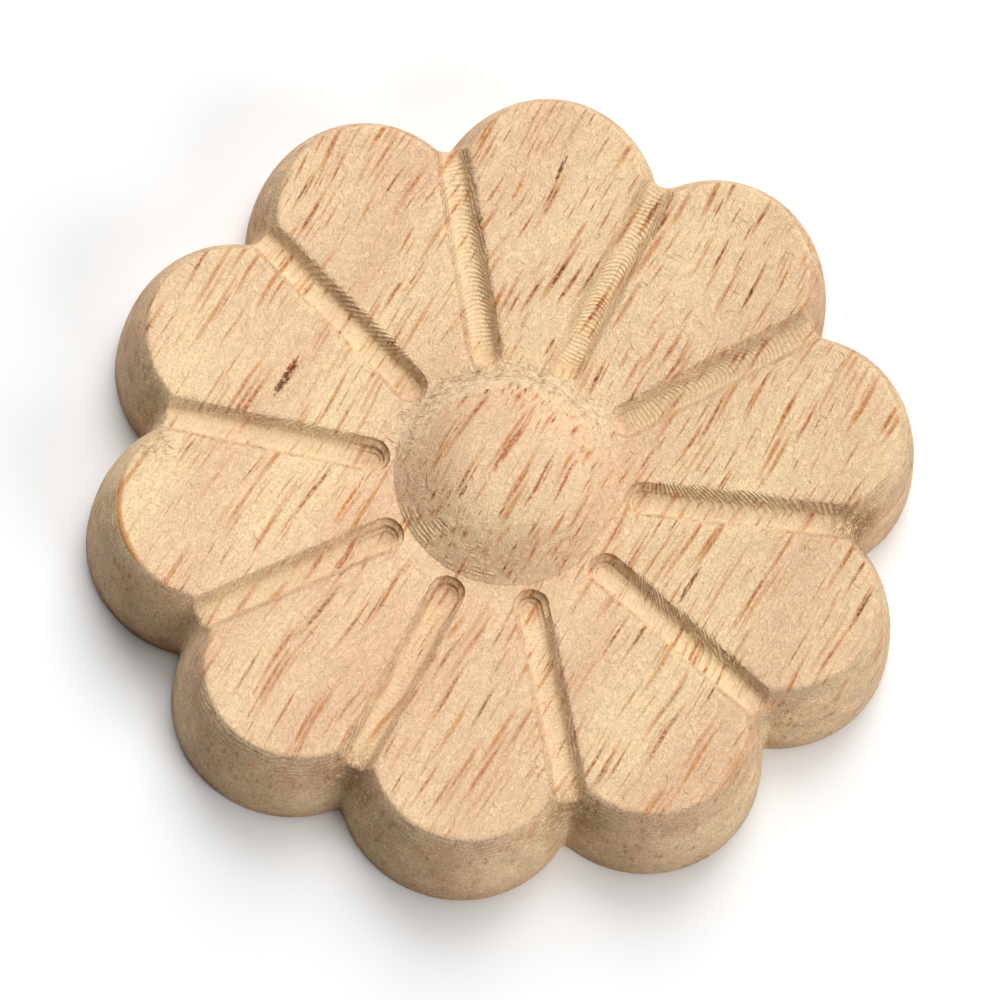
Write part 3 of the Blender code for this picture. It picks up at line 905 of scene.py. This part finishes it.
# Fibres root where the wood faces up, below the dome's crown, turned any way on the surface
root_normal = add(strewing, "GeometryNodeInputNormal")
facing_up = add(strewing, "SeparateXYZ", root_normal).outputs[2]
on_face = add(strewing, "FunctionNodeCompare", facing_up, LEAST_FACING_UP, operation="GREATER_THAN")
below_crown = add(strewing, "FunctionNodeCompare", root_axes[2], HIGHEST_ROOT_MM, operation="LESS_THAN")
rooted = add(strewing, "FunctionNodeBooleanMath", on_face, below_crown, operation="AND")
per_square_metre = add(strewing, "Math", thick, 1.0e6, operation="MULTIPLY")
strewn = add(strewing, "GeometryNodeDistributePointsOnFaces", {
    "Mesh": wood_shape, "Selection": rooted, "Density": per_square_metre, "Seed": asked["seed"]})
yaw = add(strewing, "FunctionNodeRandomValue", {2: 0.0, 3: 2 * math.pi, "Seed": 1})
yaw_angles = add(strewing, "CombineXYZ", {"Z": yaw})
yaw_rotation = add(strewing, "FunctionNodeEulerToRotation", yaw_angles)
lay = add(strewing, "FunctionNodeRotateRotation", strewn.outputs["Rotation"], yaw_rotation,
          rotation_space="LOCAL")
size = add(strewing, "FunctionNodeRandomValue", {2: 0.45, 3: 1.25, "Seed": 2})
chosen = add(strewing, "FunctionNodeRandomValue", {4: 0, 5: 2, "Seed": 3}, data_type="INT")
kinds = add(strewing, "GeometryNodeCollectionInfo", {
    "Collection": asked["fibre_kinds"], "Separate Children": True, "Reset Children": True})
wisps = add(strewing, "GeometryNodeInstanceOnPoints", {
    "Points": strewn.outputs["Points"], "Instance": kinds, "Pick Instance": True, "Instance Index": chosen,
    "Rotation": lay, "Scale": size})
real_wisps = add(strewing, "GeometryNodeRealizeInstances", wisps)
coloured_wisps = add(strewing, "GeometryNodeSetMaterial", {
    "Geometry": real_wisps, "Material": asked["fibre_material"]})
add(strewing, "NodeGroupOutput", coloured_wisps)

carrier = put_in_scene("fibre_carrier", bpy.data.meshes.new("fibre_carrier"))
wisp_mesh = plain_mesh(
    carrier, strewing, strewing_inputs, "loose_fibres", carved_wood=carved_rosette,
    fibre_kinds=fibre_kinds, fibres_per_mm2=0.35, fibres_per_mm2_in_tufts=34.0, seed=5,
    fibre_material=torn_fibre)
loose_fibres = put_in_scene("loose_fibres", wisp_mesh)

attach(loose_fibres, "root")


# Studio
# A matt white table, two large soft lamps towards the picture's upper right and a lower one that fills
# the shadows, and the camera at the photograph's angle. The table lies just under the rosette's back.

FLOOR_REACH = 600 * MM
FLOOR_DROP = 0.02 * MM
LAMP_DISTANCE = 600 * MM
CAMERA_DISTANCE_MM = 551.2974
CAMERA_ASIDE_MM = -0.06943
CAMERA_RAISED_MM = 0.20551
LENS_MM = 332.65

floor_mesh = bpy.data.meshes.new("floor")
floor_mesh.from_pydata([(x * FLOOR_REACH, y * FLOOR_REACH, -FLOOR_DROP)
                        for x, y in ((-1, -1), (1, -1), (1, 1), (-1, 1))], [], [(0, 1, 2, 3)])
floor = put_in_scene("floor", floor_mesh)
table_white = bpy.data.materials.new("matt_white_table")
table_white.use_nodes = True
table_shader = table_white.node_tree.nodes["Principled BSDF"]
table_shader.inputs["Base Color"].default_value = linear("#FAFAFA")
table_shader.inputs["Roughness"].default_value = 0.9
floor_mesh.materials.append(table_white)

# Lamps: bearing and height in degrees, width in metres, power in watts
LAMPS = (("main_lamp", 58, 72, 0.5, 1.90), ("side_lamp", 75, 45, 0.5, 2.60),
         ("fill_lamp", -52, 30, 0.4, 1.95))
for name, bearing, height, size, energy in LAMPS:
    bearing, height = math.radians(bearing), math.radians(height)
    towards = Vector((math.cos(height) * math.cos(bearing), math.cos(height) * math.sin(bearing),
                      math.sin(height)))
    lamp_data = bpy.data.lights.new(name, "AREA")
    lamp_data.shape = "DISK"
    lamp_data.size = size
    lamp_data.energy = energy
    lamp = put_in_scene(name, lamp_data)
    lamp.location = towards * LAMP_DISTANCE
    lamp.rotation_euler = towards.to_track_quat("Z", "Y").to_euler()

room = bpy.data.worlds.new("white_room")
room.use_nodes = True
room_light = room.node_tree.nodes["Background"]
room_light.inputs["Color"].default_value = linear("#FFFFFF")
room_light.inputs["Strength"].default_value = 0.01
bpy.context.scene.world = room
bpy.context.scene.view_settings.view_transform = "Standard"

camera_data = bpy.data.cameras.new("camera")
camera_data.sensor_width = 36.0
camera_data.lens = LENS_MM
camera = put_in_scene("camera", camera_data)
camera_right = Vector((0.98220108, -0.17040086, 0.07902266))
camera_up = Vector((0.13534703, 0.93377612, 0.33127531))
camera_back = Vector((-0.13023907, -0.31468349, 0.94021917))
camera_place = (camera_back * CAMERA_DISTANCE_MM + camera_right * CAMERA_ASIDE_MM
                + camera_up * CAMERA_RAISED_MM) * MM
camera.matrix_world = Matrix((
    *zip(camera_right, camera_up, camera_back, camera_place), (0.0, 0.0, 0.0, 1.0)))
bpy.context.scene.camera = camera
